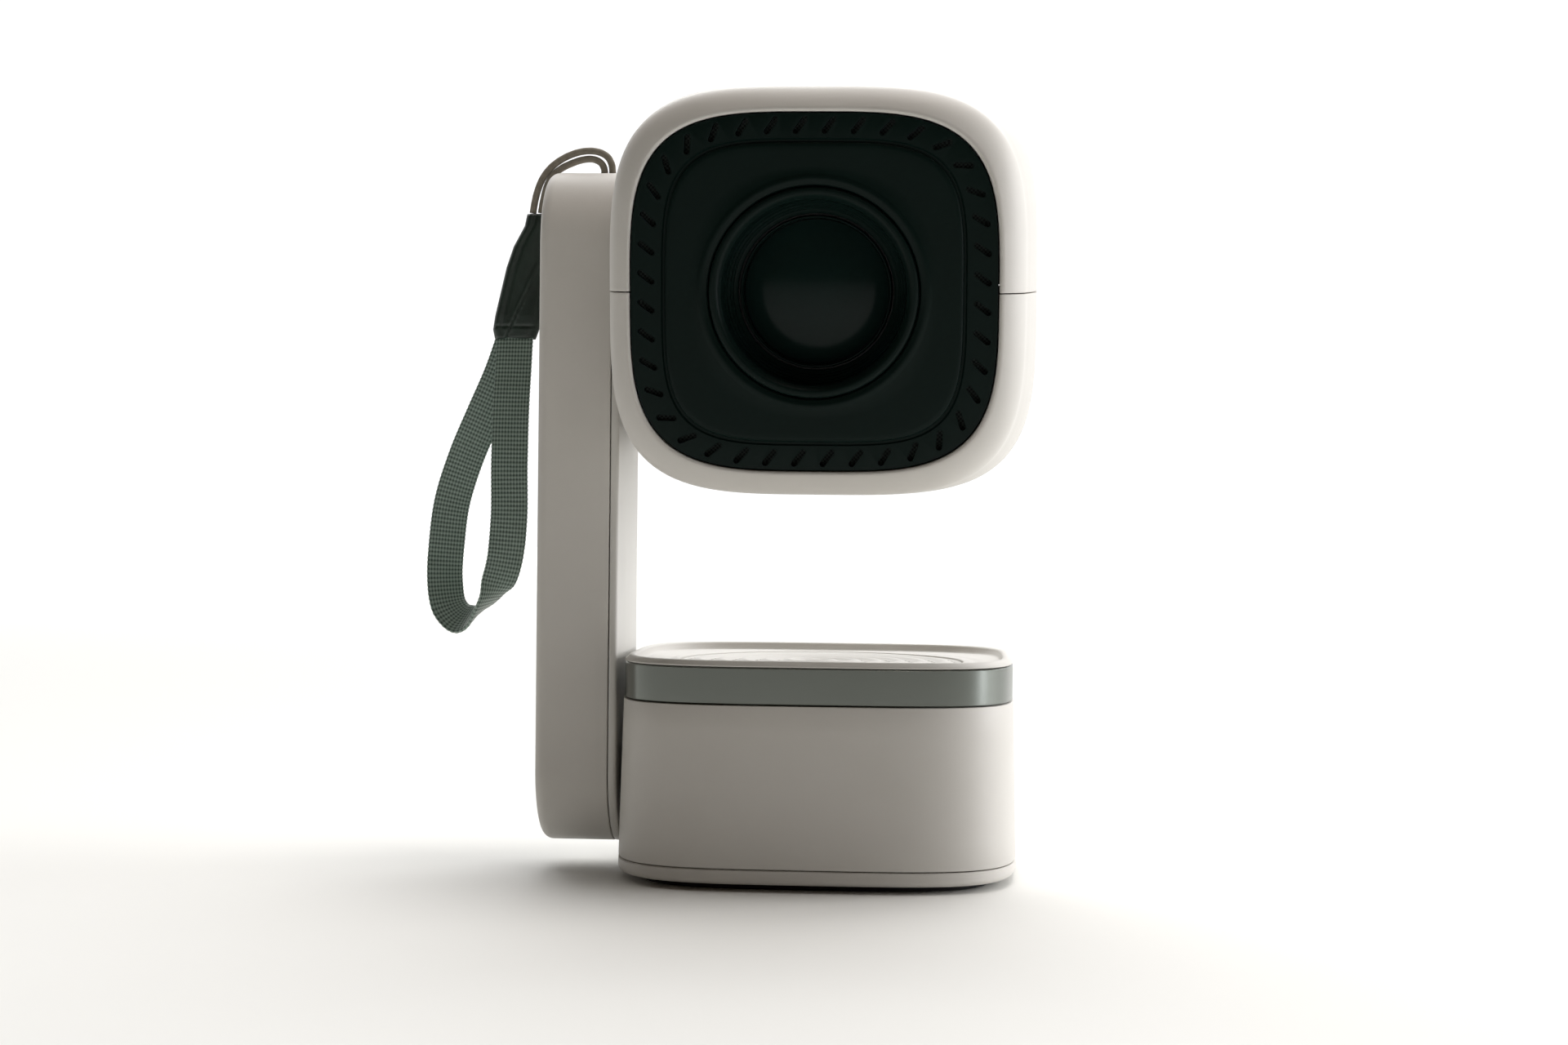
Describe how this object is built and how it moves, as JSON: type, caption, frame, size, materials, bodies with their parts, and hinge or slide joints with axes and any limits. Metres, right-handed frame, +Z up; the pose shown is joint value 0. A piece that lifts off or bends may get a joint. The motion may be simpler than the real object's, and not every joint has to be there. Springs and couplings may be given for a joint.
{
  "type": "home projector",
  "caption": "Compact projector with a rounded-square head tilting on a one-sided arm over a speaker and battery base with a metal band and a hand strap.",
  "frame": {"origin": "centre of the foot pad's underside, where the projector rests on a table", "axes": "+X to the right seen from the front, -Y is the way the lens faces, +Z up"},
  "size_m": [0.1768, 0.124, 0.2253],
  "materials": {
    "casing_white": "fine moulded texture",
    "cover_white": "fine moulded texture",
    "band_alloy": "satin anodised",
    "zinc_casting": "die cast",
    "bright_steel": "turned",
    "sink_alloy": "extruded",
    "foot_rubber": "matt",
    "panel_black": "dark satin gloss",
    "black_plastic": "matt",
    "grey_plastic": "matt",
    "lens_glass": "coated",
    "board_green": "solder mask",
    "cell_wrap": "shrink film",
    "cone_paper": "pressed pulp",
    "cord_braid": "braided",
    "strap_leather": "smooth",
    "strap_weave": "woven webbing"
  },
  "bodies": {
    "base": {"foot_pad": "foot_rubber", "base_plate": "casing_white", "base_screw_1": "bright_steel", "base_screw_2": "bright_steel", "base_screw_3": "bright_steel", "base_screw_4": "bright_steel", "base_shell": "casing_white", "trim_band": "band_alloy", "top_cover": "casing_white", "speaker_grille": "grey_plastic", "speaker_frame": "black_plastic", "speaker_magnet": "bright_steel", "battery_tray": "black_plastic", "battery_pack": "cell_wrap", "power_board": "board_green", "dc_socket": "black_plastic", "hinge_bracket": "zinc_casting", "hinge_bush": "black_plastic"},
    "cone": {"speaker_cone": "cone_paper"},
    "arm": {"arm_shell": "casing_white", "arm_cover": "cover_white", "arm_spine": "zinc_casting", "arm_shaft": "bright_steel", "arm_nut": "bright_steel", "friction_washer": "black_plastic", "arm_harness": "foot_rubber", "strap_bar": "bright_steel", "strap_cord": "cord_braid", "strap_connector": "strap_leather", "strap_webbing": "strap_weave"},
    "head": {"head_upper_shell": "casing_white", "head_lower_shell": "casing_white", "front_panel": "panel_black", "rear_panel": "cover_white", "tilt_shaft": "bright_steel", "tilt_nut": "bright_steel", "lens_bezel": "black_plastic", "lens_housing": "black_plastic", "focus_motor": "bright_steel", "engine_case": "black_plastic", "lcd_panel": "lens_glass", "fresnel_lens": "lens_glass", "led_module": "band_alloy", "heat_sink": "sink_alloy", "fan_frame": "black_plastic", "mainboard": "board_green", "hdmi_socket": "band_alloy", "usb_socket": "band_alloy", "audio_socket": "black_plastic", "button_switch": "black_plastic", "head_screw_1": "bright_steel", "head_screw_2": "bright_steel"},
    "barrel": {"lens_barrel": "black_plastic", "front_lens": "lens_glass", "rear_lens": "lens_glass"},
    "focus_gear": {"focus_ring": "black_plastic"},
    "pinion": {"focus_pinion": "band_alloy"},
    "fan": {"fan_rotor": "black_plastic"},
    "button": {"power_button": "grey_plastic"}
  },
  "joints": [
    {"name": "arm_lean", "type": "hinge", "parent": "base", "child": "arm", "pos_m": [-0.0564, 0, 0.029], "axis": [1, 0, 0], "range_deg": [-20, 20]},
    {"name": "head_tilt", "type": "hinge", "parent": "arm", "child": "head", "pos_m": [-0.0564, 0, 0.1664], "axis": [1, 0, 0], "range_deg": [-111, 19]},
    {"name": "focus_turn", "type": "hinge", "parent": "head", "child": "focus_gear", "pos_m": [0, -0.03282, 0.16295], "axis": [0, -0.9945, -0.1045], "range_deg": [-120, 120]},
    {"name": "focus_slide", "type": "slide", "parent": "head", "child": "barrel", "axis": [0, -0.9945, -0.1045], "range_m": [-0.0015, 0.0015]},
    {"name": "pinion_turn", "type": "hinge", "parent": "head", "child": "pinion", "pos_m": [0.025, 0.00261, 0.14154], "axis": [0, -0.9945, -0.1045], "range_deg": [-410, 410]},
    {"name": "fan_spin", "type": "hinge", "parent": "head", "child": "fan", "pos_m": [0, 0.04366, 0.17099], "axis": [0, -0.9945, -0.1045], "continuous": true},
    {"name": "power_press", "type": "slide", "parent": "head", "child": "button", "axis": [0, -0.9945, -0.1045], "range_m": [0, 0.0008], "stiffness_N_per_m": 900, "springref_m": -0.0003},
    {"name": "cone_stroke", "type": "slide", "parent": "base", "child": "cone", "axis": [0, 0, 1], "range_m": [-0.0012, 0.0012], "stiffness_N_per_m": 1200}
  ],
  "couplings": [
    {"joint": "focus_slide", "follows": "focus_turn", "m_per_rad": 0.00071},
    {"joint": "pinion_turn", "follows": "focus_turn", "ratio": -3.375}
  ]
}
